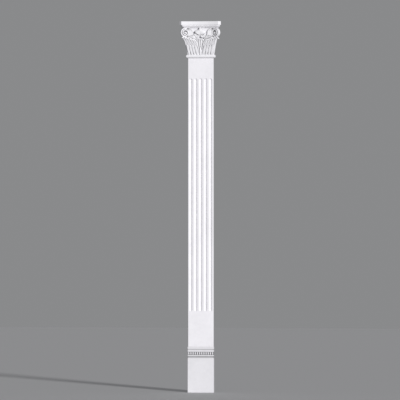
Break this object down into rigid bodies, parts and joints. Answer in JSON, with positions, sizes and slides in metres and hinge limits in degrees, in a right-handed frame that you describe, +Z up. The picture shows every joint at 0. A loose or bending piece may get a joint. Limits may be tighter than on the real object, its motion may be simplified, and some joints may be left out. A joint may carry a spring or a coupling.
{
  "type": "wall pilaster",
  "caption": "Flat fluted wall pilaster with a leaf capital and a moulded base, made in three cast pieces and fixed to a wall.",
  "frame": {"origin": "on the wall plane at the floor line, midway across the pilaster's back", "axes": "+X along the wall, to the right for someone who faces the pilaster; -Y out of the wall into the room; +Z up"},
  "size_m": [0.246, 0.065, 2.1736],
  "materials": {
    "capital_foam": "cast rigid foam with a white satin primer",
    "shaft_foam": "cast rigid foam with a white satin primer",
    "base_foam": "cast rigid foam with a white satin primer"
  },
  "bodies": {
    "root": {"capital": "capital_foam", "shaft": "shaft_foam", "base": "base_foam"}
  },
  "joints": []
}
